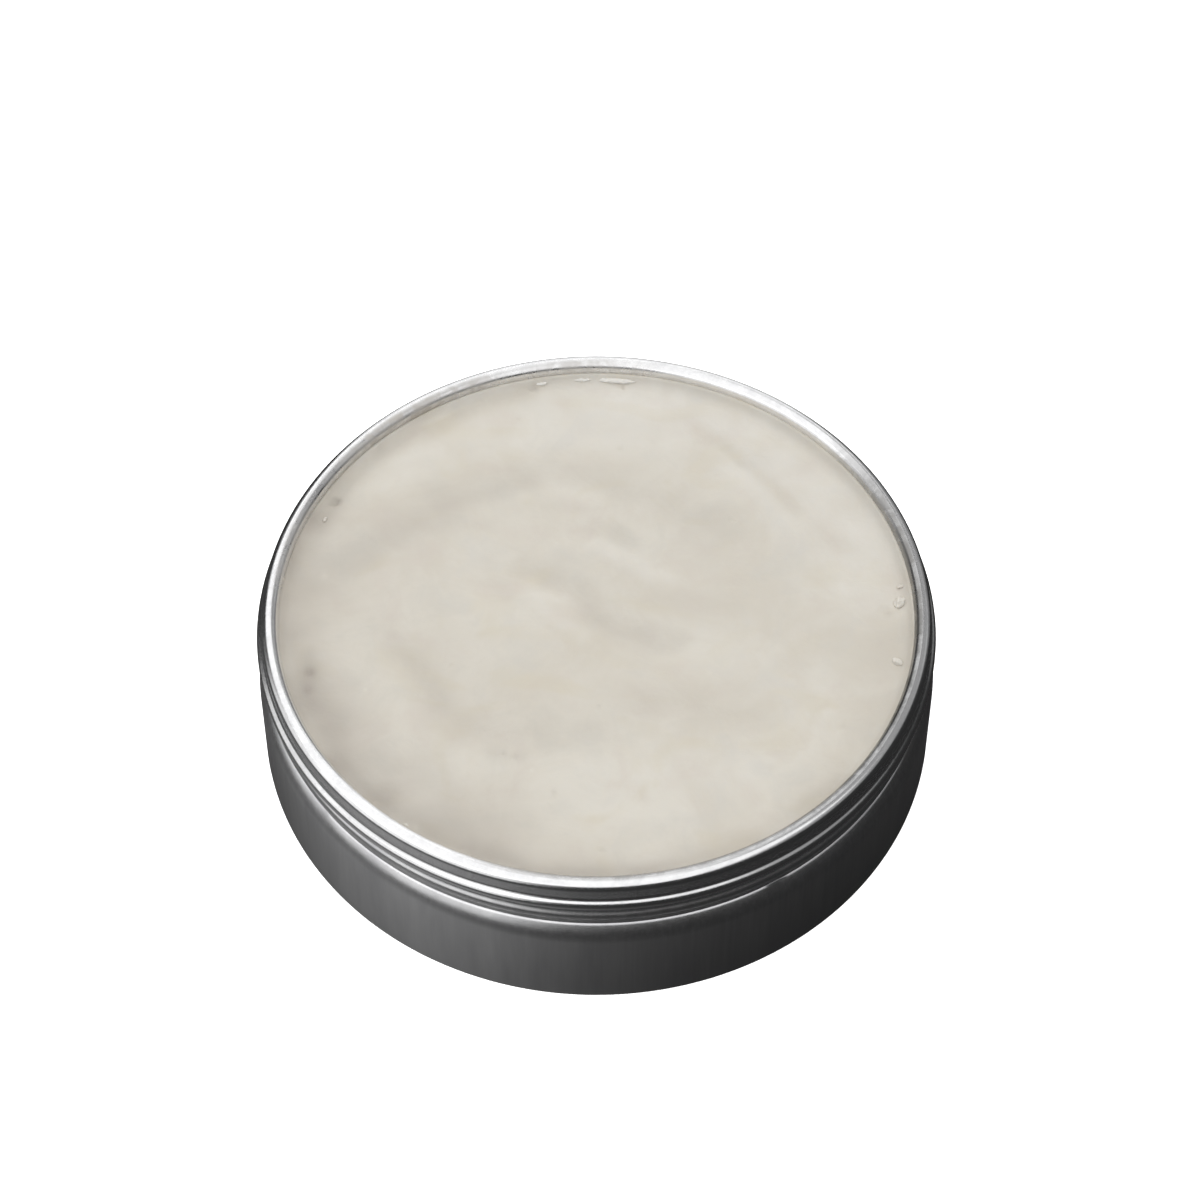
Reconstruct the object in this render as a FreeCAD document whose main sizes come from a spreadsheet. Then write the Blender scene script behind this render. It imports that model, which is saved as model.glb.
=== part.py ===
import FreeCAD, Part
import os
import Sketcher
from math import atan2, cos, degrees, radians, sin, sqrt

# An open aluminium polish tin filled with wax polish, in millimetres.
# The origin is the centre of the underside, and +Z is the tin's axis, towards its mouth.
# The tin is one sheet: base panel, wall, shoulder, two neck beads and a rim that curls inwards.

os.makedirs("parts", exist_ok=True)
doc = FreeCAD.newDocument("PolishTin")

# ---- Driving dimensions ----------------------------------------------------------------------

SIZES = [
    # alias, millimetres, what it is
    ("sheetThickness", 0.4, "aluminium sheet, the same all over"),
    ("bodyRadius", 41.5, "outside of the wall: an 83 mm tin"),
    ("cornerRadius", 1.2, "outside corner between base and wall"),
    ("shoulderHeight", 14.85, "top of the rounded shoulder"),
    ("shoulderRadius", 1.1, "outside rounding of the shoulder"),
    ("panelRise", 0.8, "base panel above the standing ring"),
    ("panelRadius", 34.5, "flat part of the raised base panel"),
    ("neckRadius", 40.2, "neck between the shoulder and the upper bead"),
    ("neckTopRadius", 40.65, "neck above the upper bead, and the rim"),
    ("creaseRadius", 0.15, "fillet where the neck meets the shoulder"),
    ("grooveRadius", 0.4, "fillets beside the beads"),
    ("lowerBeadHeight", 16.7, "middle of the lower bead"),
    ("lowerBeadCrest", 40.75, "outside of the lower bead"),
    ("lowerBeadRound", 1.2, "rounding of the lower bead"),
    ("upperBeadHeight", 19.3, "middle of the upper bead"),
    ("upperBeadCrest", 41.33, "outside of the upper bead"),
    ("upperBeadRound", 0.8, "rounding of the upper bead"),
    ("curlRadius", 1.05, "outside of the rolled rim's tube"),
    ("tinHeight", 22.85, "underside to the top of the rim"),
    ("polishGap", 0.05, "between the cake and the sheet"),
    ("polishHeight", 20.25, "top of the cake"),
    ("polishStep", 13.0, "where the cake starts to narrow under the shoulder"),
    ("polishNeckStart", 14.3, "where the cake has narrowed to the neck"),
    ("polishFootChamfer", 0.9, "cake's lower edge, inside the base corner"),
    ("crumbThickness", 0.7, "height of a loose flake of polish"),
]

sheet = doc.addObject("Spreadsheet::Sheet", "Sizes")
for row, (alias, millimetres, note) in enumerate(SIZES, start=1):
    sheet.set(f"A{row}", note)
    sheet.set(f"B{row}", str(millimetres))
    sheet.setAlias(f"B{row}", alias)
doc.recompute()


def size(alias):
    return float(sheet.get(alias))


# ---- Sketch helpers --------------------------------------------------------------------------

AXIS = -2          # a sketch's own vertical axis
ORIGIN = (-1, 1)   # a sketch's own origin point
START, END, CENTRE = 1, 2, 3


def sketchOn(body, role, name):
    # An empty sketch on one of the body's own origin planes.
    plane = next(item for item in body.Origin.OriginFeatures if item.Role == role)
    sketch = body.newObject("Sketcher::SketchObject", name)
    sketch.AttachmentSupport = [(plane, "")]
    sketch.MapMode = "FlatFace"
    return sketch


def line(sketch, first, last):
    return sketch.addGeometry(Part.LineSegment(FreeCAD.Vector(*first, 0), FreeCAD.Vector(*last, 0)))


def arc(sketch, centre, radius, first, last):
    # Counter-clockwise from the first to the last angle, in degrees.
    circle = Part.Circle(FreeCAD.Vector(*centre, 0), FreeCAD.Vector(0, 0, 1), radius)
    return sketch.addGeometry(Part.ArcOfCircle(circle, radians(first), radians(last)))


def bind(sketch, kind, expression, *where):
    # A dimension whose value is an expression on the sheet's cells.
    value = sketch.evalExpression(expression)
    constraint = sketch.addConstraint(Sketcher.Constraint(kind, *where, float(value)))
    sketch.setExpression(f"Constraints[{constraint}]", expression)


def bindRadiusAt(sketch, piece, point, expression):
    bind(sketch, "DistanceX", expression, *ORIGIN, piece, point)


def bindHeightAt(sketch, piece, point, expression):
    bind(sketch, "DistanceY", expression, *ORIGIN, piece, point)


def join(sketch, kind, piece, point, nextPiece, nextPoint):
    sketch.addConstraint(Sketcher.Constraint(kind, piece, point, nextPiece, nextPoint))


def direct(sketch, kind, *pieces):
    # Makes lines "Horizontal" or "Vertical".
    for piece in pieces:
        sketch.addConstraint(Sketcher.Constraint(kind, piece))


def closeOnAxis(sketch, lower, lowerPoint, upper, upperPoint):
    # The straight edge along the axis between the section's two ends.
    low = sketch.getPoint(lower, lowerPoint)
    high = sketch.getPoint(upper, upperPoint)
    edge = line(sketch, (low.x, low.y), (high.x, high.y))
    join(sketch, "Coincident", lower, lowerPoint, edge, START)
    join(sketch, "Coincident", upper, upperPoint, edge, END)
    sketch.addConstraint(Sketcher.Constraint("PointOnObject", edge, START, AXIS))
    sketch.addConstraint(Sketcher.Constraint("PointOnObject", edge, END, AXIS))


def revolve(body, sketch, name):
    feature = body.newObject("PartDesign::Revolution", name)
    feature.Profile = sketch
    feature.ReferenceAxis = (sketch, ["V_Axis"])
    feature.Angle = 360
    sketch.Visibility = False
    return feature


# ---- The tin's section -----------------------------------------------------------------------

def bead(sketch, inset, cut, grow, below, name, neckAbove):
    # A rolled bead with a fillet on each side, continuing the vertical neck line "below".
    # Returns its last piece, and the height where the neck goes on above it.
    crest = size(name + "Crest")
    rounding = size(name + "Round")
    middle = size(name + "Height")
    groove = size("grooveRadius")
    centre = crest - rounding
    fillets = []
    for neck, side in ((size("neckRadius"), -1), (size(neckAbove), 1)):
        reach = neck + groove - centre
        rise = sqrt((rounding + groove) ** 2 - reach ** 2)
        fillets.append(((neck + groove, middle + side * rise), degrees(atan2(rise, reach))))
    (lowCentre, lowAngle), (highCentre, highAngle) = fillets
    lowFillet = arc(sketch, lowCentre, groove + inset, 180 - lowAngle, 180)
    crestArc = arc(sketch, (centre, middle), rounding - inset, -lowAngle, highAngle)
    highFillet = arc(sketch, highCentre, groove + inset, 180, 180 + highAngle)
    join(sketch, "Tangent", below, END, lowFillet, END)
    join(sketch, "Tangent", lowFillet, START, crestArc, START)
    join(sketch, "Tangent", crestArc, END, highFillet, END)
    for fillet in (lowFillet, highFillet):
        bind(sketch, "Radius", f"Sizes.grooveRadius{grow}", fillet)
    bind(sketch, "Radius", f"Sizes.{name}Round{cut}", crestArc)
    bindRadiusAt(sketch, crestArc, CENTRE, f"Sizes.{name}Crest - Sizes.{name}Round")
    bindHeightAt(sketch, crestArc, CENTRE, f"Sizes.{name}Height")
    return highFillet, highCentre[1]


def sheetFace(sketch, inset):
    # One face of the sheet, from the middle of the base out and up to the end of the curl:
    # the outside face when the inset is 0, and the inside face when it is the thickness.
    cut = " - Sizes.sheetThickness" if inset else ""
    grow = " + Sizes.sheetThickness" if inset else ""
    wall = size("bodyRadius") - inset
    corner, shoulder = size("cornerRadius"), size("shoulderRadius")
    ledge = size("shoulderHeight")
    neck, crease = size("neckRadius"), size("creaseRadius")
    rise, panel = size("panelRise"), size("panelRadius")
    bevel = inset * (sqrt(2) - 1)

    # Base: a raised panel, a 45 degree step and the standing ring.
    flat = line(sketch, (0, rise + inset), (panel + bevel, rise + inset))
    step = line(sketch, (panel + bevel, rise + inset), (panel + rise + bevel, inset))
    ring = line(sketch, (panel + rise + bevel, inset), (size("bodyRadius") - corner, inset))
    join(sketch, "Coincident", flat, END, step, START)
    join(sketch, "Coincident", step, END, ring, START)
    direct(sketch, "Horizontal", flat, ring)
    spread = " + Sizes.sheetThickness * (sqrt(2) - 1)" if inset else ""
    bindHeightAt(sketch, flat, START, f"Sizes.panelRise{grow}")
    bindRadiusAt(sketch, flat, END, f"Sizes.panelRadius{spread}")
    bindRadiusAt(sketch, step, END, f"Sizes.panelRadius + Sizes.panelRise{spread}")
    if inset:
        bindHeightAt(sketch, step, END, "Sizes.sheetThickness")
    else:
        sketch.addConstraint(Sketcher.Constraint("PointOnObject", step, END, -1))

    # Corner, wall and shoulder.
    cornerArc = arc(sketch, (size("bodyRadius") - corner, corner), corner - inset, -90, 0)
    side = line(sketch, (wall, corner), (wall, ledge - shoulder))
    shoulderArc = arc(sketch, (size("bodyRadius") - shoulder, ledge - shoulder), shoulder - inset, 0, 90)
    top = line(sketch, (size("bodyRadius") - shoulder, ledge - inset), (neck + crease, ledge - inset))
    join(sketch, "Tangent", ring, END, cornerArc, START)
    join(sketch, "Tangent", cornerArc, END, side, START)
    join(sketch, "Tangent", side, END, shoulderArc, START)
    join(sketch, "Tangent", shoulderArc, END, top, START)
    direct(sketch, "Vertical", side)
    direct(sketch, "Horizontal", top)
    bind(sketch, "Radius", f"Sizes.cornerRadius{cut}", cornerArc)
    bind(sketch, "Radius", f"Sizes.shoulderRadius{cut}", shoulderArc)
    bindRadiusAt(sketch, side, START, f"Sizes.bodyRadius{cut}")
    bindHeightAt(sketch, top, START, f"Sizes.shoulderHeight{cut}")

    # Crease and neck, up through the two beads.
    creaseArc = arc(sketch, (neck + crease, ledge + crease), crease + inset, 180, 270)
    join(sketch, "Tangent", top, END, creaseArc, END)
    bind(sketch, "Radius", f"Sizes.creaseRadius{grow}", creaseArc)
    last, lastPoint, height = creaseArc, START, ledge + crease
    for name, above in (("lowerBead", "neckRadius"), ("upperBead", "neckTopRadius")):
        neckLine = line(sketch, (neck - inset, height), (neck - inset, height + 0.2))
        join(sketch, "Tangent", last, lastPoint, neckLine, START)
        direct(sketch, "Vertical", neckLine)
        bindRadiusAt(sketch, neckLine, START, f"Sizes.neckRadius{cut}")
        last, height = bead(sketch, inset, cut, grow, neckLine, name, above)
        lastPoint = START

    # Mouth: the sheet goes straight up and rolls inwards, three quarters of a turn.
    curl = size("curlRadius")
    middle = (size("neckTopRadius") - curl, size("tinHeight") - curl)
    mouth = line(sketch, (size("neckTopRadius") - inset, height), (size("neckTopRadius") - inset, middle[1]))
    curlArc = arc(sketch, middle, curl - inset, 0, 270)
    join(sketch, "Tangent", last, lastPoint, mouth, START)
    join(sketch, "Tangent", mouth, END, curlArc, START)
    direct(sketch, "Vertical", mouth)
    bind(sketch, "Radius", f"Sizes.curlRadius{cut}", curlArc)
    bindRadiusAt(sketch, curlArc, CENTRE, "Sizes.neckTopRadius - Sizes.curlRadius")
    bindHeightAt(sketch, curlArc, CENTRE, "Sizes.tinHeight - Sizes.curlRadius")
    bindRadiusAt(sketch, curlArc, END, "Sizes.neckTopRadius - Sizes.curlRadius")
    return flat, curlArc


def makeTinBody():
    body = doc.addObject("PartDesign::Body", "TinBody")
    body.Label = "tin_body"
    sketch = sketchOn(body, "XZ_Plane", "TinSection")
    outsideBase, outsideCurl = sheetFace(sketch, 0)
    insideBase, insideCurl = sheetFace(sketch, size("sheetThickness"))
    curlEdge = sketch.addGeometry(Part.LineSegment(sketch.getPoint(outsideCurl, END),
                                                   sketch.getPoint(insideCurl, END)))
    join(sketch, "Coincident", outsideCurl, END, curlEdge, START)
    join(sketch, "Coincident", insideCurl, END, curlEdge, END)
    closeOnAxis(sketch, outsideBase, START, insideBase, START)
    revolve(body, sketch, "TinShell")
    return body


# ---- The polish ------------------------------------------------------------------------------

def makePolish():
    # The cake fills the tin up to the upper bead. Its section is a chain of straight lines.
    body = doc.addObject("PartDesign::Body", "Polish")
    body.Label = "polish"
    sketch = sketchOn(body, "XZ_Plane", "PolishSection")
    floor = "Sizes.sheetThickness + Sizes.polishGap"
    slope = "Sizes.panelRadius + Sizes.sheetThickness"
    wall = "Sizes.bodyRadius - Sizes.sheetThickness - Sizes.polishGap"
    neck = "Sizes.neckRadius - Sizes.sheetThickness - Sizes.polishGap"
    corners = [
        ("0", f"{floor} + Sizes.panelRise"),
        (slope, f"{floor} + Sizes.panelRise"),
        (f"{slope} + Sizes.panelRise", floor),
        (f"{wall} - Sizes.polishFootChamfer", floor),
        (wall, f"{floor} + Sizes.polishFootChamfer"),
        (wall, "Sizes.polishStep"),
        (neck, "Sizes.polishNeckStart"),
        (neck, "Sizes.polishHeight"),
        ("0", "Sizes.polishHeight"),
    ]
    places = [tuple(float(sketch.evalExpression(text)) for text in corner) for corner in corners]
    edges = [line(sketch, *pair) for pair in zip(places, places[1:])]
    for edge, nextEdge in zip(edges, edges[1:]):
        join(sketch, "Coincident", edge, END, nextEdge, START)
    bindHeightAt(sketch, edges[0], START, corners[0][1])
    for edge, (radius, height) in zip(edges, corners[1:]):
        if radius != "0":
            bindRadiusAt(sketch, edge, END, radius)
        bindHeightAt(sketch, edge, END, height)
    closeOnAxis(sketch, edges[0], START, edges[-1], END)
    revolve(body, sketch, "PolishCake")
    return body


# Loose flakes of dried polish on the cake, by the wall on the right:
# distance from the axis, direction from +X in degrees, length and width, and how it is turned.
CRUMBS = [
    (37.4, 3.4, 1.7, 1.3, 20.0),
    (37.1, -10.4, 1.3, 0.9, -35.0),
    (37.6, 6.4, 0.8, 0.6, 60.0),
]


def makeCrumbs():
    flakes = []
    for number, (reach, bearing, length, width, turn) in enumerate(CRUMBS, start=1):
        flake = doc.addObject("Part::Ellipsoid", f"Flake{number}")
        flake.Radius2 = length / 2
        flake.Radius3 = width / 2
        flake.setExpression("Radius1", "Sizes.crumbThickness / 2")
        flake.Angle1, flake.Angle2, flake.Angle3 = -90, 90, 360
        flake.Placement = FreeCAD.Placement(
            FreeCAD.Vector(reach * cos(radians(bearing)), reach * sin(radians(bearing)), 0),
            FreeCAD.Rotation(FreeCAD.Vector(0, 0, 1), turn))
        flake.setExpression("Placement.Base.z",
                            "Sizes.polishHeight + Sizes.crumbThickness / 2 + Sizes.polishGap")
        flakes.append(flake)
    group = doc.addObject("Part::Compound", "PolishCrumbs")
    group.Label = "polish_crumbs"
    group.Links = flakes
    return group


# ---- Build, check and write ------------------------------------------------------------------

pieces = [makeTinBody(), makePolish(), makeCrumbs()]
doc.recompute()

for item in doc.Objects:
    if "Invalid" in item.State or "Error" in item.State:
        raise RuntimeError(f"{item.Name} failed: {item.State}")
    if item.TypeId == "Sketcher::SketchObject":
        if item.solve() != 0 or not item.FullyConstrained:
            raise RuntimeError(f"{item.Name} is not fully constrained")

for piece in pieces:
    shape = piece.Shape
    if shape.isNull() or not shape.isValid():
        raise RuntimeError(f"{piece.Label} has no valid shape")
    shape.exportStep(f"parts/{piece.Label}.step")
    box = shape.optimalBoundingBox(True, False)
    print(f"{piece.Label}: {len(shape.Solids)} solid(s), {shape.Volume:.0f} mm3, "
          f"radius {box.XMax:.2f}, z {box.ZMin:.2f} to {box.ZMax:.2f}")
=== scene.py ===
import math

import bpy
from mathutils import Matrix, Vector, noise


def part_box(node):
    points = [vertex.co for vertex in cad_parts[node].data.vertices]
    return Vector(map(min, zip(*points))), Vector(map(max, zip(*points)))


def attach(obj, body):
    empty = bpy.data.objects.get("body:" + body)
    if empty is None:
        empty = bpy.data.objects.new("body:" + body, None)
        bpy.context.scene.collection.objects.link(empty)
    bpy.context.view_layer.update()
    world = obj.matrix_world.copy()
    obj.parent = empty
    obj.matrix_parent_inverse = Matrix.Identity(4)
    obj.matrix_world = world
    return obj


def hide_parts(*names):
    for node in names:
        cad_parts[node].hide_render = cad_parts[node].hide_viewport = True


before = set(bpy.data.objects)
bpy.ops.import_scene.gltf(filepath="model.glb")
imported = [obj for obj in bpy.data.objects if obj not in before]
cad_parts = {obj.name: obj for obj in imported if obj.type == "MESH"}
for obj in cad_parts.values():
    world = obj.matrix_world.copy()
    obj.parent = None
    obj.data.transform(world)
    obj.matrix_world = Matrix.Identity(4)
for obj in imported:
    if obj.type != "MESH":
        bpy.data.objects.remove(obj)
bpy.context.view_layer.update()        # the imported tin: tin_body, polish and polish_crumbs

mm = 0.001
tinLow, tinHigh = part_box("tin_body")
cakeLow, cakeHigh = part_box("polish")
tinRadius = (tinHigh.x - tinLow.x) / 2
tinTop = tinHigh.z


# ---- small helpers

def startFresh():
    if bpy.context.object and bpy.context.object.mode != "OBJECT":
        bpy.ops.object.mode_set(mode="OBJECT")
    bpy.ops.object.select_all(action="DESELECT")


def arcPoints(centreR, centreZ, radius, first, last, count):
    # points of an arc in a section, with angles in degrees from straight outwards
    points = []
    for i in range(count + 1):
        a = math.radians(first + (last - first) * i / count)
        points.append((centreR + radius * math.cos(a), centreZ + radius * math.sin(a)))
    return points


def lathe(name, section, steps):
    # draws the section point by point in edit mode, then spins it round the tin's axis
    startFresh()
    bpy.ops.mesh.primitive_plane_add(size=mm, location=(0, 0, 0))
    piece = bpy.context.object
    piece.name = piece.data.name = name
    bpy.ops.object.mode_set(mode="EDIT")
    bpy.ops.mesh.select_all(action="SELECT")
    bpy.ops.mesh.merge(type="CENTER")
    bpy.ops.transform.translate(value=(section[0][0], 0, section[0][1]))
    for (r0, z0), (r1, z1) in zip(section, section[1:]):
        step = (r1 - r0, 0, z1 - z0)
        bpy.ops.mesh.extrude_region_move(TRANSFORM_OT_translate={"value": step})
    bpy.ops.mesh.select_all(action="SELECT")
    bpy.ops.mesh.spin(steps=steps, angle=2 * math.pi, center=(0, 0, 0), axis=(0, 0, 1))
    bpy.ops.mesh.select_all(action="SELECT")
    bpy.ops.mesh.remove_doubles(threshold=0.002 * mm)
    bpy.ops.mesh.normals_make_consistent(inside=False)
    bpy.ops.object.mode_set(mode="OBJECT")
    return piece


def selectOnly(piece):
    startFresh()
    piece.select_set(True)
    bpy.context.view_layer.objects.active = piece


def applyModifiers(piece):
    selectOnly(piece)
    for modifier in list(piece.modifiers):
        bpy.ops.object.modifier_apply(modifier=modifier.name)


def smooth(piece, degrees):
    selectOnly(piece)
    bpy.ops.object.shade_smooth_by_angle(angle=math.radians(degrees))


# ---- shader helpers

def newMaterial(name):
    material = bpy.data.materials.new(name)
    material.use_nodes = True
    nodes = material.node_tree.nodes
    return material, nodes, material.node_tree.links, nodes["Principled BSDF"]


def noiseOn(nodes, links, vector, scale, detail, roughness, distortion=0.0):
    node = nodes.new("ShaderNodeTexNoise")
    node.inputs["Scale"].default_value = scale
    node.inputs["Detail"].default_value = detail
    node.inputs["Roughness"].default_value = roughness
    node.inputs["Distortion"].default_value = distortion
    links.new(vector, node.inputs["Vector"])
    return node.outputs["Fac"]


def stretched(nodes, links, scale):
    # object coordinates, stretched along one or more axes
    place = nodes.new("ShaderNodeTexCoord")
    mapping = nodes.new("ShaderNodeMapping")
    mapping.inputs["Scale"].default_value = scale
    links.new(place.outputs["Object"], mapping.inputs["Vector"])
    return mapping.outputs["Vector"]


def ramp(nodes, links, value, stops):
    # stops are (position, grey)
    node = nodes.new("ShaderNodeValToRGB")
    elements = node.color_ramp.elements
    while len(elements) < len(stops):
        elements.new(0.5)
    for element, (position, grey) in zip(elements, stops):
        element.position = position
        element.color = (grey, grey, grey, 1)
    links.new(value, node.inputs["Fac"])
    return node.outputs["Color"]


def mixColours(nodes, links, factor, first, second, blend="MIX"):
    node = nodes.new("ShaderNodeMix")
    node.data_type = "RGBA"
    node.blend_type = blend
    sockets = (node.inputs["Factor"], node.inputs[6], node.inputs[7])     # 6 and 7 are its two colours
    for socket, value in zip(sockets, (factor, first, second)):
        if isinstance(value, (int, float)):
            socket.default_value = value
        elif isinstance(value, tuple):
            socket.default_value = (*value, 1)
        else:
            links.new(value, socket)
    return node.outputs[2]


def bump(nodes, links, height, distance, strength, under=None):
    node = nodes.new("ShaderNodeBump")
    node.inputs["Distance"].default_value = distance
    node.inputs["Strength"].default_value = strength
    links.new(height, node.inputs["Height"])
    if under is not None:
        links.new(under, node.inputs["Normal"])
    return node.outputs["Normal"]


def painted(nodes, name):
    # a number that paint() has written on the piece
    node = nodes.new("ShaderNodeAttribute")
    node.attribute_name = name
    return node.outputs["Fac"]


def between(nodes, links, value, bounds, results=(0, 1)):
    # turns a value between two bounds into one between two results
    node = nodes.new("ShaderNodeMapRange")
    links.new(value, node.inputs["Value"])
    node.inputs["From Min"].default_value, node.inputs["From Max"].default_value = bounds
    node.inputs["To Min"].default_value, node.inputs["To Max"].default_value = results
    return node.outputs["Result"]


# ---- camera

camera = {
    "distance": 0.4565,
    "elevation": 52.57,
    "aimX": 0.00044,
    "aimZ": 0.02405,
    "lens": 113.3,
    "sensor": 36,
    "nearest": 10 * mm,
}

def makeCamera():
    lift = math.radians(camera["elevation"])
    aim = Vector((camera["aimX"], 0, camera["aimZ"]))
    place = aim + camera["distance"] * Vector((0, -math.cos(lift), math.sin(lift)))
    startFresh()
    bpy.ops.object.camera_add(location=place, rotation=(math.pi / 2 - lift, 0, 0))
    eye = bpy.context.object
    eye.data.lens = camera["lens"]
    eye.data.sensor_width = camera["sensor"]
    eye.data.clip_start = camera["nearest"]
    bpy.context.scene.camera = eye

makeCamera()
print("camera ready")


# ---- light and floor

studio = {
    "floorSize": 6,
    "floorGrey": 0.93,
    "floorRough": 0.9,
    "floorSheen": 0.1,
    "floorGlow": 0.9,           # the floor is a lit table, so the tin casts next to no shadow
    # the dim room round the lamps: the direction it is lightest in, and its grey from away to towards that
    "glowSide": (-0.571, -0.208, -0.794),
    "room": [(0.35, 0.0245), (0.50, 0.033), (0.60, 0.042), (0.78, 0.074), (0.90, 0.165), (1.0, 0.29)],
    # name: middle, size, watts, what it points at, and whether the metal mirrors it
    "lamps": {
        "overheadSoftbox": ((-0.1525, -0.045, 0.27), (0.395, 0.81), 1.19,
                            (-0.1525, -0.045, 0), True),
        "frontRightSoftbox": ((0.1475, -0.225, 0.27), (0.205, 0.45), 0.24,
                              (0.1475, -0.225, 0), True),
        "rightFill": ((0.3475, 0.0, 0.28), (0.605, 0.90), 0.50, (0.3475, 0.0, 0), True),
        "leftSoftbox": ((-0.60, 0.05, 0.22), (0.34, 0.56), 0.52, (0, 0.05, 0.22), True),
        "frontLeftSoftbox": ((-0.46, -0.386, 0.22), (0.75, 0.56), 1.32, (0, 0, 0.02), True),
        "backdrop": ((-0.02, 0.90, 0.28), (0.75, 0.80), 1.9, (0, 0, 0.02), True),
        "backRightPanel": ((0.62, 0.65, 0.25), (0.70, 0.60), 0.25, (0, 0, 0.02), True),
        "backRightKey": ((0.70, 0.60, 0.90), (0.60, 0.60), 8.6, (0, 0, 0.02), False),
    },
}

def makeRoom():
    world = bpy.data.worlds.new("studio")
    bpy.context.scene.world = world
    world.use_nodes = True
    nodes, links = world.node_tree.nodes, world.node_tree.links
    towards = nodes.new("ShaderNodeTexCoord")
    side = nodes.new("ShaderNodeVectorMath")
    side.operation = "DOT_PRODUCT"
    side.inputs[1].default_value = studio["glowSide"]
    links.new(towards.outputs["Generated"], side.inputs[0])
    glow = ramp(nodes, links, side.outputs["Value"], studio["room"])
    links.new(glow, nodes["Background"].inputs["Color"])

def makeStudio():
    makeRoom()
    bpy.context.scene.view_settings.view_transform = "Standard"

    startFresh()
    bpy.ops.mesh.primitive_plane_add(size=studio["floorSize"], location=(0, 0, 0))
    floor = bpy.context.object
    floor.name = "floor"
    material, nodes, links, shader = newMaterial("paleFloor")
    shader.inputs["Base Color"].default_value = (*[studio["floorGrey"]] * 3, 1)
    shader.inputs["Roughness"].default_value = studio["floorRough"]
    shader.inputs["Specular IOR Level"].default_value = studio["floorSheen"]
    shader.inputs["Emission Color"].default_value = (1, 1, 1, 1)
    shader.inputs["Emission Strength"].default_value = studio["floorGlow"]
    floor.data.materials.append(material)
    floor.visible_glossy = False

    for name, (place, size, watts, target, mirrored) in studio["lamps"].items():
        bpy.ops.object.light_add(type="AREA", location=place)
        lamp = bpy.context.object
        lamp.name = name
        lamp.data.shape = "RECTANGLE"
        lamp.data.size, lamp.data.size_y = size
        lamp.data.energy = watts
        aim = Vector(target) - Vector(place)
        lamp.rotation_euler = aim.to_track_quat("-Z", "Y").to_euler()
        lamp.visible_camera = False
        lamp.visible_glossy = mirrored
        lamp.data.use_shadow = mirrored     # the key only models the wax: the rim throws no shadow

makeStudio()
print("studio ready")


# ---- aluminium

aluminiumLook = {
    "bodyColour": (0.60, 0.60, 0.605),
    "bodyDull": (0.50, 0.50, 0.51),
    "rimColour": (0.84, 0.84, 0.845),     # the upper bead and the curl are burnished by their rollers; their lighter colour is partly a painted highlight
    "rimDull": (0.77, 0.77, 0.78),
    "rimHeights": (18.4 * mm, 19.4 * mm), # where the burnish and its painted highlight start and where they are full
    "wallShade": (0.84, 1.24),            # painted shade: the wall's colour is a little darker towards its foot
    "wallHeights": (0, 13 * mm),
    # scale, detail, roughness and distortion of each pattern
    "streaks": (2600, 3, 0.6),            # fine upright draw marks
    "broad": (260, 4, 0.55),              # wider upright bands
    "speckle": (3200, 2, 0.5),
    "cloud": (420, 4, 0.6, 0.8),          # wear and grease
    "streakStretch": (1, 1, 0.02),
    "broadStretch": (1, 1, 0.15),
    "streakShare": 0.35,
    # places in a pattern and how much shows there
    "worn": [(0.35, 0.0), (0.7, 1.0)],
    "dulled": [(0.42, 0.0), (0.68, 1.0)],
    "fine": [(0.3, 0.9), (0.7, 1.06)],
    "patchy": [(0.36, 0.25), (0.6, 1.0)],
    "curlShadeBreakup": [(0.34, 0.7), (0.6, 1.0)],
    "metalUnderFilm": [(0.0, 1.0), (1.0, 0.35)],
    "streakDepth": (0.01 * mm, 0.5),      # distance and strength
    "speckleDepth": (0.006 * mm, 0.4),
    "bodyRough": (0.30, 0.42),
    "rimRough": (0.21, 0.27),
    "anisotropy": 0.3,
    "film": (0.50, 0.475, 0.44),          # smear of polish left inside the curl
    "filmRough": (0.5, 0.5, 0.5),
    "curlShade": (0.19, 0.19, 0.188),       # painted shade: dark grey on the curl's inner side
}

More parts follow.
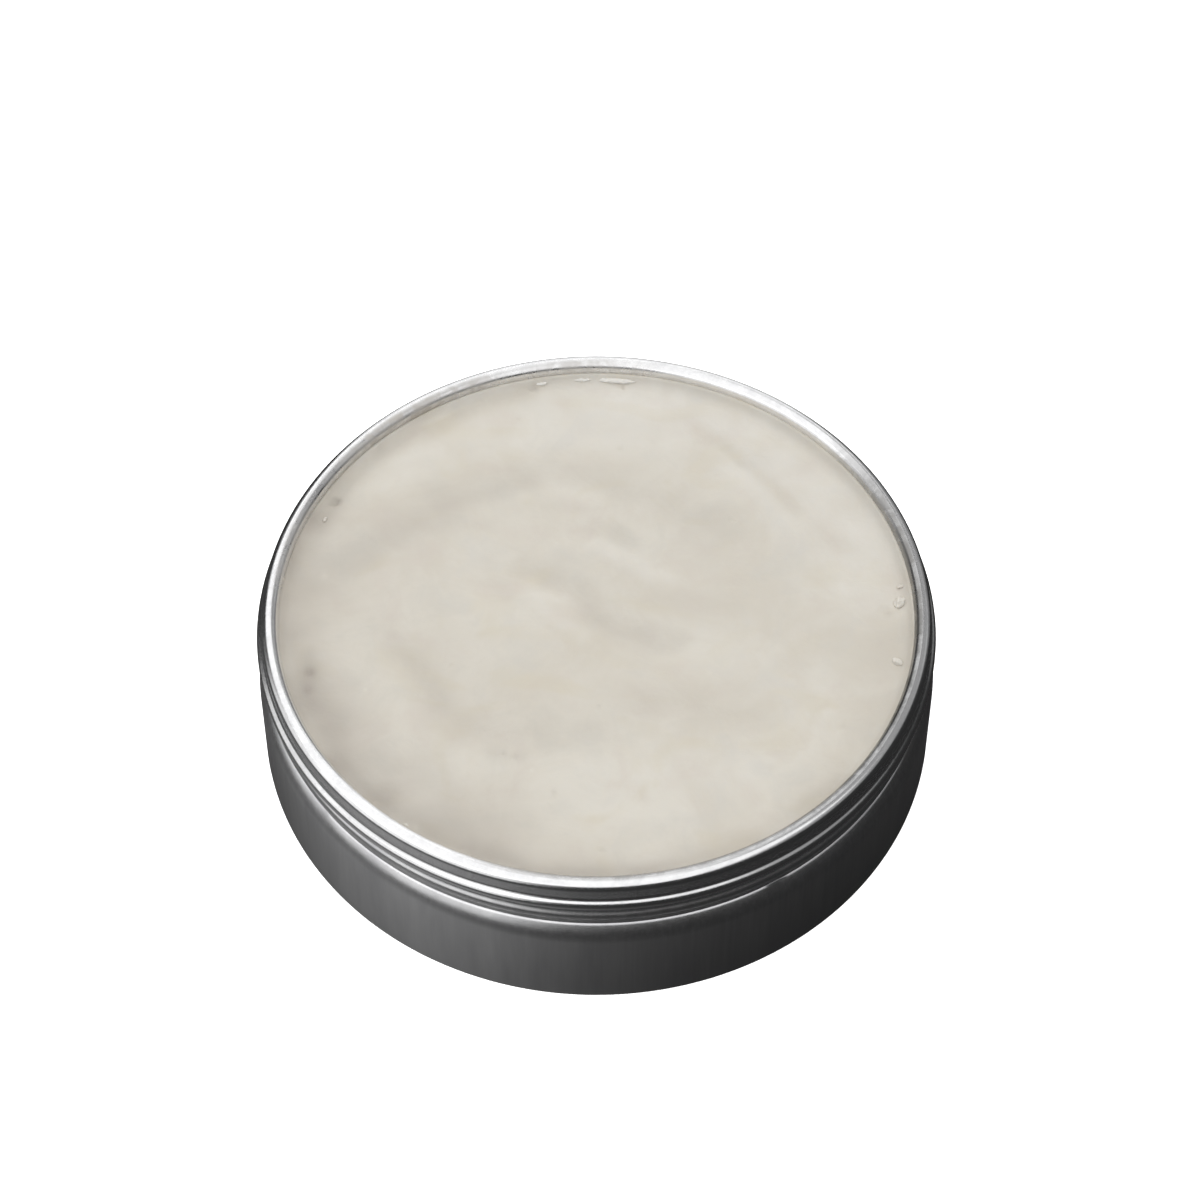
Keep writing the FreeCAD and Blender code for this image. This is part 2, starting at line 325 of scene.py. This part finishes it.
def makeAluminium():
    look = aluminiumLook
    material, nodes, links, shader = newMaterial("drawnAluminium")
    plain = stretched(nodes, links, (1, 1, 1))
    streaks = noiseOn(nodes, links, stretched(nodes, links, look["streakStretch"]), *look["streaks"])
    broad = noiseOn(nodes, links, stretched(nodes, links, look["broadStretch"]), *look["broad"])
    speckle = noiseOn(nodes, links, plain, *look["speckle"])
    cloud = noiseOn(nodes, links, plain, *look["cloud"])
    height = nodes.new("ShaderNodeSeparateXYZ")
    links.new(plain, height.inputs[0])
    onRim = between(nodes, links, height.outputs["Z"], look["rimHeights"])
    footShade = between(nodes, links, height.outputs["Z"], look["wallHeights"], look["wallShade"])

    # colour of the wall, with painted shade towards its foot, then of the rim, partly a painted highlight,
    # then the marks on both, with painted shade inside the curl
    worn = ramp(nodes, links, broad, look["worn"])
    body = mixColours(nodes, links, worn, look["bodyColour"], look["bodyDull"])
    body = mixColours(nodes, links, 1.0, body, footShade, "MULTIPLY")
    dulled = ramp(nodes, links, cloud, look["dulled"])
    # painted highlight: the rim's colour is lighter than the wall's
    rim = mixColours(nodes, links, dulled, look["rimColour"], look["rimDull"])
    tone = mixColours(nodes, links, onRim, body, rim)
    fine = ramp(nodes, links, streaks, look["fine"])
    tone = mixColours(nodes, links, look["streakShare"], tone, fine, "MULTIPLY")
    patchy = ramp(nodes, links, cloud, look["patchy"])
    smear = mixColours(nodes, links, 1.0, painted(nodes, "film"), patchy, "MULTIPLY")
    # painted shade: the curl's inner side is darkened to grey, broken up by the cloud
    curlShadeBreakup = ramp(nodes, links, cloud, look["curlShadeBreakup"])
    curlShadeMask = mixColours(nodes, links, 1.0, painted(nodes, "curlShade"), curlShadeBreakup, "MULTIPLY")
    tone = mixColours(nodes, links, curlShadeMask, tone, look["curlShade"])
    links.new(mixColours(nodes, links, smear, tone, look["film"]), shader.inputs["Base Color"])
    links.new(ramp(nodes, links, smear, look["metalUnderFilm"]), shader.inputs["Metallic"])

    low, high = look["bodyRough"]
    rough = mixColours(nodes, links, 0.5, ramp(nodes, links, streaks, [(0.3, low), (0.7, high)]),
                       ramp(nodes, links, broad, [(0.3, low), (0.7, high)]))
    low, high = look["rimRough"]
    rough = mixColours(nodes, links, onRim, rough, ramp(nodes, links, cloud, [(0.3, low), (0.7, high)]))
    rough = mixColours(nodes, links, smear, rough, look["filmRough"])
    links.new(rough, shader.inputs["Roughness"])
    shader.inputs["Anisotropic"].default_value = look["anisotropy"]
    tangent = nodes.new("ShaderNodeTangent")
    tangent.direction_type = "RADIAL"
    tangent.axis = "Z"
    links.new(tangent.outputs["Tangent"], shader.inputs["Tangent"])
    brushed = bump(nodes, links, streaks, *look["streakDepth"])
    links.new(bump(nodes, links, speckle, *look["speckleDepth"], brushed), shader.inputs["Normal"])
    return material


# ---- tin

tinSizes = {
    "sheet": 0.4 * mm,
    "corner": 1.2 * mm,
    "panelRise": 0.8 * mm,
    "panelRadius": 34.5 * mm,
    "shoulderTop": 14.95 * mm,
    "shoulderRound": 4.2 * mm,
    "neck": 40.4 * mm,
    "neckTop": 40.65 * mm,
    "crease": 0.04 * mm,
    # middle height, crest radius and rounding of each rolled bead, and rounding of the grooves beside it
    "beads": [(16.72 * mm, 40.85 * mm, 0.9 * mm, 1.0 * mm),
              (19.4 * mm, 41.33 * mm, 0.9 * mm, 0.7 * mm)],
    "curl": 1.05 * mm,
    "steps": 288,
    # straight pieces along each arc of the section
    "arcs": {"corner": 8, "shoulder": 10, "crease": 4, "groove": 6, "bead": 12, "curl": 30},
    "smoothBelow": 40,
}

def tinSection():
    s = tinSizes
    arcs = s["arcs"]
    r = tinRadius
    points = [(0, s["panelRise"])]
    for share in (0.2, 0.4, 0.6, 0.8, 1.0):
        points.append((s["panelRadius"] * share, s["panelRise"]))
    foot = s["panelRadius"] + s["panelRise"]
    points += [(foot, 0), ((foot + r - s["corner"]) / 2, 0)]
    points += arcPoints(r - s["corner"], s["corner"], s["corner"], -90, 0, arcs["corner"])
    # the shoulder's arc ends where it meets the neck's crease
    turn = math.acos(1 - (r - s["neck"] - s["crease"]) / s["shoulderRound"])
    wallTop = s["shoulderTop"] - s["shoulderRound"] * math.sin(turn)
    for share in (0.2, 0.4, 0.6, 0.8):
        points.append((r, s["corner"] + (wallTop - s["corner"]) * share))
    points += arcPoints(r - s["shoulderRound"], wallTop, s["shoulderRound"], 0, math.degrees(turn),
                        arcs["shoulder"])
    points += arcPoints(s["neck"] + s["crease"], s["shoulderTop"] + s["crease"], s["crease"], 270, 180,
                        arcs["crease"])
    neckAbove = (s["neck"], s["neckTop"])
    for (middle, crest, rounding, groove), above in zip(s["beads"], neckAbove):
        centre = crest - rounding
        ends = []
        for neck, side in ((s["neck"], -1), (above, 1)):
            reach = neck + groove - centre
            rise = math.sqrt((rounding + groove) ** 2 - reach ** 2)
            ends.append((neck + groove, middle + side * rise, math.degrees(math.atan2(rise, reach))))
        (lowR, lowZ, lowTurn), (highR, highZ, highTurn) = ends
        points += arcPoints(lowR, lowZ, groove, 180, 180 - lowTurn, arcs["groove"])
        points += arcPoints(centre, middle, rounding, -lowTurn, highTurn, arcs["bead"])[1:]
        points += arcPoints(highR, highZ, groove, 180 + highTurn, 180, arcs["groove"])[1:]
    # three quarters of a turn inwards, which hides the cut edge
    points += arcPoints(s["neckTop"] - s["curl"], tinTop - s["curl"], s["curl"], 0, 270, arcs["curl"])
    return points

def push(piece, middle, move, reach, falloff="SMOOTH", choose=None):
    # moves the surface at a point, or where choose() says, in edit mode, fading out over the reach
    selectOnly(piece)
    bpy.ops.object.mode_set(mode="EDIT")
    bpy.ops.mesh.select_all(action="DESELECT")
    bpy.ops.object.mode_set(mode="OBJECT")
    if choose is None:
        near = min(piece.data.vertices, key=lambda v: (v.co - Vector(middle)).length_squared)
        near.select = True
    else:
        for vertex in piece.data.vertices:
            vertex.select = choose(vertex.co)
    bpy.ops.object.mode_set(mode="EDIT")
    bpy.ops.transform.translate(value=move, use_proportional_edit=True,
                                proportional_edit_falloff=falloff, proportional_size=reach)
    bpy.ops.object.mode_set(mode="OBJECT")

def paint(piece, name, amountAt):
    # writes a number on every point of a piece, for its material to read
    layer = piece.data.attributes.new(name, "FLOAT", "POINT")
    layer.data.foreach_set("value", [amountAt(vertex.co) for vertex in piece.data.vertices])

# small knocks: bearing from the front towards the right, height, depth, reach
knocks = [(31, 14.6 * mm, 0.16 * mm, 1.3 * mm), (-52, 14.7 * mm, 0.08 * mm, 1.6 * mm),
          (12, 9.0 * mm, 0.05 * mm, 2.2 * mm), (-100, 6.0 * mm, 0.06 * mm, 2.5 * mm),
          (150, 10.5 * mm, 0.07 * mm, 2.0 * mm)]

# marks on the curl's inner side: how far below the top they reach, the width they fade in over, the power
# they fade out by, and for each patch its bearing from the right towards the back, half width and amount
curlInside = 39.75 * mm
curlMarks = {
    # smeared polish
    "film": (3 * mm, 0.5 * mm, 2,
             [(128, 26, 0.9), (165, 16, 0.45), (92, 14, 0.55), (-90, 30, 0.25), (10, 30, 0.2)]),
    # painted shade on the curl's inner side, darkest at the right and front right
    "curlShade": (2.2 * mm, 0.35 * mm, 4,
                [(-15, 58, 1.0), (-62, 50, 0.8), (150, 40, 0.2)]),
}

def markAt(place, name):
    depth, fade, power, patches = curlMarks[name]
    inside = (curlInside - math.hypot(place.x, place.y)) / fade
    if inside <= 0 or place.z < tinTop - depth:
        return 0.0
    bearing = math.degrees(math.atan2(place.y, place.x))
    amount = 0.0
    for middle, half, strength in patches:
        away = abs((bearing - middle + 180) % 360 - 180) / half
        amount = max(amount, strength * max(0.0, 1 - away ** power))
    return amount * min(1.0, inside)

def makeTin():
    tin = lathe("tinShell", tinSection(), tinSizes["steps"])
    for bearing, height, depth, reach in knocks:
        turn = math.radians(bearing)
        outward = Vector((math.sin(turn), -math.cos(turn), 0))
        push(tin, outward * tinRadius + Vector((0, 0, height)), -outward * depth, reach)
    thickness = tin.modifiers.new("sheet", "SOLIDIFY")
    thickness.thickness = tinSizes["sheet"]
    thickness.offset = -1
    applyModifiers(tin)
    smooth(tin, tinSizes["smoothBelow"])
    for name in curlMarks:
        paint(tin, name, lambda place: markAt(place, name))
    tin.data.materials.append(makeAluminium())
    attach(tin, "root")
    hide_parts("tin_body")
    return tin

tin = makeTin()
print("tin ready:", len(tin.data.polygons), "faces")


# ---- polish

polishLook = {
    "cream": (0.515, 0.482, 0.421),
    "pale": (0.554, 0.526, 0.468),
    "grey": (0.466, 0.444, 0.398),
    "pink": (0.528, 0.480, 0.429),
    "butter": (0.515, 0.475, 0.392),
    "staleWaxAndShade": (0.317, 0.286, 0.251),      # darkest tone: painted shade by the wall and in the pits, partly dried and greasy wax
    "milkyWaxAndHighlight": (0.704, 0.695, 0.669),       # lightest tone: painted highlight on ridges and smears, partly fresh and smooth wax
    # stretch, and scale, detail, roughness and distortion of each pattern
    "clouds": ((1, 1, 1), (70, 5, 0.6, 0.7)),
    "patches": ((1.0, 1.0, 1.3), (150, 5, 0.6, 0.5)),
    "drift": ((0.8, 1.25, 1.1), (95, 3, 0.5, 0.9)),
    "grain": ((1, 1, 1), (1500, 3, 0.5)),
    "crust": ((1, 1, 1), (560, 4, 0.62, 0.4)),
    "swept": ((0.55, 1.0, 1.0), (330, 4, 0.6, 1.2)),
    # the tints laid over the cream: pattern, places in it and how much shows there, colour
    "tints": [("clouds", [(0.38, 0.0), (0.62, 1.0)], "pale"),
              ("patches", [(0.52, 0.0), (0.68, 0.5)], "grey"),
              ("patches", [(0.30, 0.45), (0.46, 0.0)], "pink"),
              ("drift", [(0.54, 0.0), (0.66, 0.55)], "butter")],
    # distance and strength of each pattern's relief, from the broadest to the finest
    "relief": [("patches", 0.3 * mm, 0.3), ("swept", 0.2 * mm, 0.35), ("crust", 0.12 * mm, 0.35),
               ("grain", 0.03 * mm, 0.45)],
    "unevenShade": 0.16,
    "plainShade": 0.58,                  # painted shade value that neither darkens nor lightens
    "rough": [(0.3, 0.46), (0.7, 0.60)],
    "gloss": 0.35,
    "bleed": 0.15,                       # light that spreads inside the wax
    "bleedColours": (1.0, 0.8, 0.6),
    "bleedDepth": 0.8 * mm,
}

polishSizes = {
    "hollow": (34.9 * mm, 0.8 * mm),    # radius and height of the tin's raised panel under the cake
    "foot": 35.7 * mm,
    "corner": 0.9 * mm,
    "wallTop": 13.0 * mm,
    "neck": 39.7 * mm,
    "neckFoot": 14.3 * mm,
    "top": 20.25 * mm,
    "steps": 480,
    "rings": 100,
    # radius and height above the level, in millimetres
    "edge": [(39.3, 0.42), (39.0, 0.58), (38.78, 0.82), (38.55, 0.85),
             (38.35, 0.66), (38.0, 0.36), (37.6, 0.14), (37.1, 0.02)],
    "lump": (11 * mm, 0.30 * mm),       # size and height of the broad and the small unevenness
    "ripple": (2.4 * mm, 0.10 * mm),
    "evenFrom": (38.6 * mm, 1.5 * mm),  # radius where the unevenness ends, and width it fades out over
    "strokeDepth": 1.2 * mm,            # how far below the top a stroke takes hold
    "strokeCore": 0.32,                 # half width of what a stroke takes hold of, in millimetres
    "pitReach": 1.8,
    "smoothBelow": 70,
}

# furrows left by the brush: depth, half width, and the line they follow from above, in millimetres
furrows = [
    (0.34, 3.2, [(-9, 7), (-6, 5.6), (-3, 4.6), (-1, 2.6), (0.5, 0.4), (3, -1.6), (6, -3), (9.5, -4.2)]),
    (0.22, 2.4, [(-1, 14), (2, 13), (5, 11), (8, 8.5)]),
    (0.20, 3.0, [(12, 30.5), (15, 29), (18, 26.3), (20, 23.3), (23, 19.5), (26, 15.5), (28.5, 11),
                 (30, 6)]),
    (0.12, 1.4, [(12.5, 28.2), (15, 27.6), (17.5, 25.8), (19, 23.8)]),
    (0.26, 3.6, [(-20, 18), (-15, 19), (-11, 21.2), (-6, 21.6), (-1, 20.8)]),
    (0.24, 3.2, [(-31, 7), (-27.5, 10.5), (-24, 13.2), (-20, 15)]),
    (0.26, 2.8, [(-25, -3.5), (-22.5, -6.5), (-20.3, -9.3), (-19, -13)]),
    (0.24, 3.4, [(-15, -17.5), (-11, -18.7), (-6, -18.4), (-2, -17)]),
    (0.16, 3.2, [(5, -14.5), (10, -13.6), (15, -14.6), (19, -17)]),
    (0.18, 3.4, [(3, 19), (8, 17), (13, 15), (16, 12.5)]),
    (0.14, 3.0, [(-13, 3), (-15, 8), (-14, 13)]),
    (0.12, 2.6, [(5, -26.8), (1, -27.4), (-4, -28.5)]),
]

# smears standing proud beside the furrows
ridges = [
    (0.16, 2.4, [(-8.5, 4.6), (-6.5, 2.2), (-4, -0.6), (-2, -3)]),
    (0.16, 2.2, [(0, 10.6), (3, 9), (6, 6.8), (9, 5)]),
    (0.14, 2.2, [(-9, 19.2), (-4, 19), (0, 18.3)]),
    (0.20, 3.4, [(-27, -6), (-25, -11), (-22.5, -15.5), (-18.5, -18.5)]),
    (0.12, 3.2, [(-26, 20), (-24, 24), (-20, 28)]),
    (0.10, 2.8, [(16, -6), (19, -9), (21, -14)]),
    (0.12, 2.6, [(-12, -24), (-5, -24), (2, -23)]),
]

# holes and tears, and specks where the depth is below 0: place from above, depth and half width,
# in millimetres
pits = [
    (-32.4, 18.4, 0.55, 0.45), (-33.0, 17.7, 0.4, 0.4), (-8.1, 36.7, 0.45, 0.35),
    (3.2, 37.0, 0.35, 0.35), (-5.3, -25.9, 0.18, 0.28), (-5.3, -26.5, 0.16, 0.25),
    (17.0, 15.3, 0.2, 0.25), (3.2, 27.2, 0.16, 0.35), (0.1, -13.5, 0.14, 0.3),
    (35.4, 1.3, 0.3, 0.5), (-11.0, -19.8, 0.2, 0.3), (-9.6, -20.4, 0.18, 0.3),
    (-34.5, -8.5, 0.25, 0.7), (-34.4, -11.0, 0.2, 0.5), (-9.8, 32.0, 0.12, 0.3),
    (29.0, -16.4, 0.12, 0.3), (-17.5, -7.2, 0.12, 0.3), (0.6, -33.6, 0.16, 0.3),
    (-7.6, -22.4, -0.12, 0.3), (-28.0, -10.8, -0.12, 0.3), (-33.6, 6.6, -0.16, 0.5),
    (-26.0, -27.3, -0.16, 0.4), (-21.2, -31.0, -0.16, 0.4),
]

# how the wax lightens and darkens along the strokes, mostly painted shade and painted highlight: amount,
# darker below 0, half width, and line from above, in millimetres
shades = [
    # painted shade round the edge, partly stale, greasy wax, with a pale line of polish film at the back
    # left
    (-0.30, 4.2, [(-37.5, 10), (-38, 0), (-36.5, -9), (-33, -16)]),
    (-0.30, 5.5, [(-34, -13), (-29, -20.5), (-22.5, -26.5), (-14, -31)]),
    (-0.34, 2.2, [(-31, -22), (-20.5, -31.5), (-8, -36.6), (6, -37), (20, -32), (29, -24)]),
    (-0.30, 1.6, [(-8, -37.5), (0, -38), (8, -37.6)]),
    (-0.30, 1.5, [(-34.6, 14.5), (-32, 20), (-26, 27), (-17, 33.4), (-9.5, 36.2)]),
    (0.34, 0.8, [(-34.9, 16.4), (-27.8, 26.7), (-18.2, 33.9), (-9, 37.4)]),
    (-0.30, 1.3, [(-34.6, -6), (-34.4, -11)]),
    (-0.16, 3.6, [(33, -20), (36, -10), (37, -3)]),
    # painted shade and painted highlight in bands left by the brush going round
    (-0.18, 3.3, [(-33, 6), (-29, 10), (-25, 13), (-19.5, 16.5)]),
    (-0.11, 1.5, [(-30, 7.6), (-27, 10.6), (-24, 12.9)]),
    (-0.13, 4.0, [(-19, 18), (-12, 21), (-5, 22.8), (2, 22), (9, 19), (16, 14.5)]),
    (-0.14, 1.3, [(-19, 18.4), (-14.5, 19), (-11, 21), (-8, 21.8)]),
    (-0.09, 4.4, [(-15, -16), (-8, -18), (0, -16.5), (10, -13.5), (19, -16.5)]),
    (-0.08, 2.2, [(3, 3.5), (10, 3), (16, 2)]),
    (-0.09, 3.3, [(11, 14.5), (15, 14)]),
    (0.15, 3.5, [(-28.5, -6), (-25.5, -12), (-21.5, -17.5), (-15.5, -20)]),
    (0.08, 5.5, [(-27, 4), (-20, 9), (-14, 8)]),
    (0.13, 4.0, [(-27, 20), (-23.5, 24.5), (-18, 29)]),
    (0.10, 5.5, [(-13, -24), (-4, -25), (6, -24), (16, -21.5)]),
    (0.12, 4.4, [(-14, 33), (-3, 35.5), (9, 35), (15, 33)]),
    (0.09, 3.3, [(-14, 25), (-6, 28.5), (5, 28)]),
    (0.12, 4.0, [(20, 29), (27, 21), (32, 11), (34.5, 3)]),
    (0.08, 5.5, [(12, -5), (20, -8), (23, -14)]),
    (0.08, 1.5, [(-9, 19.6), (-4, 20.2), (0, 19.6)]),
    # broad painted shade at the left and front, and painted light at the back right
    (-0.17, 9.0, [(-34, 16), (-34, -4), (-26, -20), (-12, -30)]),
    (-0.08, 7.0, [(-16, -16), (-22, 0), (-22, 6)]),
    (0.12, 8.0, [(4, 35), (12, 32), (24, 23), (31, 12)]),
    # painted shade in the furrows and painted highlight on the smears near the middle
    (-0.17, 1.6, [(-9, 7.2), (-6, 6), (-3, 5), (-1, 2.8), (0.5, 0.4), (3, -1.7), (6, -3), (9.5, -4)]),
    (-0.09, 2.5, [(-0.5, 1), (2, -1), (5, -2.6), (9, -3.4)]),
    (-0.07, 1.4, [(-13, 9), (-12.6, 6), (-11, 3.5)]),
    (-0.11, 1.3, [(-1, 13.4), (2, 13), (5, 11.4)]),
    (0.12, 1.6, [(-8.5, 5.2), (-6.5, 2.6), (-4, -0.4), (-2, -2.6)]),
    (0.12, 1.8, [(-0.5, 11), (3, 9.2), (6.5, 6.6), (9, 5)]),
    (-0.15, 1.6, [(-25, -3.6), (-22.3, -6.6), (-20.2, -9.3), (-19, -13)]),
    (-0.17, 0.9, [(-12.4, -19.6), (-10.6, -20.2), (-9, -20.4)]),
    # painted shade in the creases at the back right, with a painted highlight beside them
    (-0.14, 1.0, [(12.5, 30.4), (16, 28.2), (18.4, 25.6), (20.3, 22.6), (22.3, 20.4), (25, 17)]),
    (-0.11, 0.7, [(12.8, 28), (15.5, 27.3), (18, 25)]),
    (-0.10, 1.8, [(24, 18), (27.3, 14.2), (29.6, 11)]),
    (0.09, 2.1, [(17, 24), (20, 19.5), (23, 15.5)]),
]

def makeWax():
    material, nodes, links, shader = newMaterial("creamWax")
    look = polishLook
    pattern = {}
    for name in ("clouds", "patches", "drift", "grain", "crust", "swept"):
        stretch, numbers = look[name]
        pattern[name] = noiseOn(nodes, links, stretched(nodes, links, stretch), *numbers)
    base = look["cream"]
    for name, stops, colour in look["tints"]:
        base = mixColours(nodes, links, ramp(nodes, links, pattern[name], stops), base, look[colour])

    # the painted strokes darken it towards stale wax and lighten it towards milky wax, as painted shade
    # and painted highlight
    uneven = nodes.new("ShaderNodeMath")
    uneven.operation = "MULTIPLY_ADD"
    links.new(pattern["patches"], uneven.inputs[0])
    uneven.inputs[1].default_value = look["unevenShade"]
    links.new(painted(nodes, "shade"), uneven.inputs[2])
    dark = ramp(nodes, links, uneven.outputs[0], [(0.0, 1.0), (look["plainShade"], 0.0)])
    light = ramp(nodes, links, uneven.outputs[0], [(look["plainShade"], 0.0), (1.0, 1.0)])
    base = mixColours(nodes, links, dark, base, look["staleWaxAndShade"])
    base = mixColours(nodes, links, light, base, look["milkyWaxAndHighlight"])
    links.new(base, shader.inputs["Base Color"])
    links.new(ramp(nodes, links, pattern["clouds"], look["rough"]), shader.inputs["Roughness"])
    shader.inputs["Specular IOR Level"].default_value = look["gloss"]
    shader.inputs["Subsurface Weight"].default_value = look["bleed"]
    shader.inputs["Subsurface Radius"].default_value = look["bleedColours"]
    shader.inputs["Subsurface Scale"].default_value = look["bleedDepth"]
    relief = None
    for name, distance, strength in look["relief"]:
        relief = bump(nodes, links, pattern[name], distance, strength, relief)
    links.new(relief, shader.inputs["Normal"])
    return material

def polishSection():
    s = polishSizes
    low = cakeLow.z
    wall = cakeHigh.x
    hollow, rise = s["hollow"]
    points = [(0, low + rise), (hollow, low + rise), (s["foot"], low), (wall - s["corner"], low)]
    points += [(wall, low + s["corner"]), (wall, s["wallTop"])]
    points += [(s["neck"], s["neckFoot"]), (s["neck"], s["top"])]
    # the edge creeps up under the curl, and the rings start where it has come down to the level
    points += [(radius * mm, s["top"] + lift * mm) for radius, lift in s["edge"]]
    inner = s["edge"][-1][0] * mm
    for i in range(1, s["rings"] + 1):
        points.append((inner * (1 - i / s["rings"]), s["top"]))
    return points

def lineDistance(x, y, line):
    # how far a point seen from above lies from a drawn line
    best = 1e9
    for (ax, ay), (bx, by) in zip(line, line[1:]):
        dx, dy = bx - ax, by - ay
        along = ((x - ax) * dx + (y - ay) * dy) / (dx * dx + dy * dy)
        along = max(0.0, min(1.0, along))
        best = min(best, math.hypot(x - ax - along * dx, y - ay - along * dy))
    return best

def drawAlong(piece, line, lift, reach):
    # one stroke of the brush: the points beside the line move, and their neighbours follow
    lowest = polishSizes["top"] - polishSizes["strokeDepth"]
    core = polishSizes["strokeCore"]
    push(piece, None, (0, 0, lift * mm), reach * mm, "SMOOTH",
         lambda p: p.z > lowest and lineDistance(p.x / mm, p.y / mm, line) < core)

# how the strokes' colour wanders and breaks up, as wax drags: size and amount, in millimetres
strokes = {
    "wander": (4.5, 0.8),
    "fray": (1.0, 0.1),
    "breaks": (4, 0.4),
    "middle": 0.5,        # shade of untouched wax
    "strength": 0.5,
    "pitStrength": 0.6,
    "farthest": 2.4,      # half widths beyond which a stroke has no effect
    "pitFarthest": 6,     # the same for a pit, squared
}

def wanderAt(x, y, layer, size, amount):
    return noise.noise_vector(Vector((x / size, y / size, layer))) * amount

def shadeAt(place):
    s = strokes
    x, y = place.x / mm, place.y / mm
    drag = wanderAt(x, y, 0, *s["wander"]) + wanderAt(x, y, 4, *s["fray"])
    size, amount = s["breaks"]
    broken = 1 + amount * noise.noise(Vector((x / size, y / size, 9)))
    x, y = x + drag.x, y + drag.y
    value = s["middle"]
    for amount, half, line in shades:
        away = lineDistance(x, y, line) / half
        if away < s["farthest"]:
            value += s["strength"] * amount * broken * math.exp(-away * away)
    # painted shade in the pits and painted highlight on the specks
    for px, py, depth, half in pits:
        away = ((x - px) ** 2 + (y - py) ** 2) / (half * half)
        if away < s["pitFarthest"]:
            value -= s["pitStrength"] * depth * math.exp(-away)
    return value

def unevenness(piece, name, size, height):
    cloud = bpy.data.textures.new(name, "CLOUDS")
    cloud.noise_scale = size
    cloud.noise_depth = 2
    modifier = piece.modifiers.new(name, "DISPLACE")
    modifier.texture = cloud
    modifier.direction = "Z"
    modifier.strength = height
    modifier.mid_level = 0.5
    modifier.vertex_group = "top"

def makePolish():
    s = polishSizes
    cake = lathe("polishCake", polishSection(), s["steps"])
    top = cake.vertex_groups.new(name="top")
    outermost, width = s["evenFrom"]
    for vertex in cake.data.vertices:
        if vertex.co.z > s["top"] - 0.05 * mm:
            fade = (outermost - math.hypot(vertex.co.x, vertex.co.y)) / width
            top.add([vertex.index], max(0.0, min(1.0, fade)), "REPLACE")
    unevenness(cake, "lumps", *s["lump"])
    unevenness(cake, "ripples", *s["ripple"])
    applyModifiers(cake)
    for depth, half, line in furrows:
        drawAlong(cake, line, -depth, half)
    for height, half, line in ridges:
        drawAlong(cake, line, height, half)
    for x, y, depth, half in pits:
        reach = half * s["pitReach"] * mm
        push(cake, (x * mm, y * mm, s["top"]), (0, 0, -depth * mm), reach, "SHARP")
    smooth(cake, s["smoothBelow"])
    paint(cake, "shade", shadeAt)
    cake.data.materials.append(makeWax())
    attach(cake, "root")
    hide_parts("polish")
    return cake

cake = makePolish()
print("polish ready:", len(cake.data.polygons), "faces")


# ---- loose flakes of polish

flakeSizes = {
    # place from above, lift, length, width and height in millimetres, turn in degrees
    "flakes": [
        (37.0, 2.4, 0.0, 1.9, 1.3, 0.75, 65), (36.3, -6.6, 0.0, 1.5, 0.9, 0.6, -40),
        (37.2, 4.8, 0.1, 0.9, 0.6, 0.45, 20), (2.6, 37.75, 0.35, 4.6, 0.8, 0.5, -4),
        (-1.8, 37.9, 0.4, 2.2, 0.5, 0.35, 3), (-7.0, 37.3, 0.35, 1.4, 0.5, 0.4, 10),
        (-33.7, 15.4, 0.0, 0.9, 0.5, 0.4, 60), (-22.3, -30.3, 0.0, 0.8, 0.5, 0.35, -40),
    ],
    "sink": 0.25,                       # share of its height that a flake sinks in
    "crumple": (0.5 * mm, 0.35 * mm),   # size and height
    "shade": (0.6, 0.8),                # at the front and, in the light, at the back
    "backFrom": 30 * mm,
    "smoothBelow": 60,
}

def makeFlakes():
    s = flakeSizes
    crumpleSize, crumpleHeight = s["crumple"]
    made = []
    for number, (x, y, lift, length, width, height, turn) in enumerate(s["flakes"]):
        startFresh()
        bpy.ops.mesh.primitive_ico_sphere_add(subdivisions=4, radius=0.5 * mm, location=(0, 0, 0))
        flake = bpy.context.object
        flake.scale = (length, width, height)
        flake.rotation_euler = (0, 0, math.radians(turn))
        raised = (lift + height * (0.5 - s["sink"])) * mm
        flake.location = (x * mm, y * mm, polishSizes["top"] + raised)
        bpy.ops.object.transform_apply(location=True, rotation=True, scale=True)
        cloud = bpy.data.textures.new(f"flakeCloud{number}", "CLOUDS")
        cloud.noise_scale = crumpleSize
        crumple = flake.modifiers.new("crumple", "DISPLACE")
        crumple.texture = cloud
        crumple.strength = crumpleHeight
        applyModifiers(flake)
        made.append(flake)
    startFresh()
    for flake in made:
        flake.select_set(True)
    bpy.context.view_layer.objects.active = made[0]
    bpy.ops.object.join()
    flakes = bpy.context.object
    flakes.name = flakes.data.name = "polishFlakes"
    smooth(flakes, s["smoothBelow"])
    front, back = s["shade"]
    paint(flakes, "shade", lambda place: front if place.y < s["backFrom"] else back)
    flakes.data.materials.append(bpy.data.materials["creamWax"])
    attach(flakes, "root")
    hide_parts("polish_crumbs")
    return flakes

flakes = makeFlakes()
print("flakes ready:", len(flakes.data.polygons), "faces")
